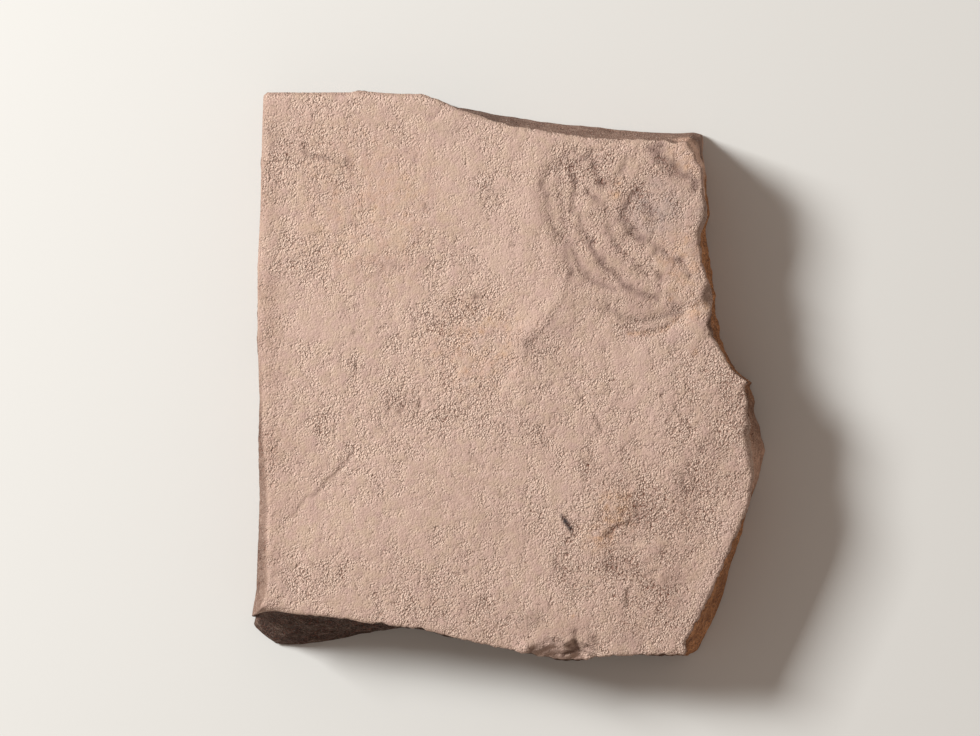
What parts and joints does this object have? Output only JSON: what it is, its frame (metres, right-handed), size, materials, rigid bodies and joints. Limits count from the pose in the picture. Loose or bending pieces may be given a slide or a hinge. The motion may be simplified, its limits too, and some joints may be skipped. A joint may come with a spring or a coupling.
{
  "type": "fossil slab",
  "caption": "Flat broken slab of fine sandstone with a faint fan of curved ribs from a fossil on its upper face.",
  "frame": {"origin": "on the flat back, under the middle of the slab's own box", "axes": "+Z out of the fossil face, +Y along the face's longer side, towards the edge nearest the fossil, +X across the face towards the broken side with the bulge"},
  "size_m": [0.1374, 0.1526, 0.0241],
  "materials": {
    "sandstone": "rough, fine-grained, pinkish tan with ochre stains on the broken sides"
  },
  "bodies": {
    "root": {"slab": "sandstone"}
  },
  "joints": []
}
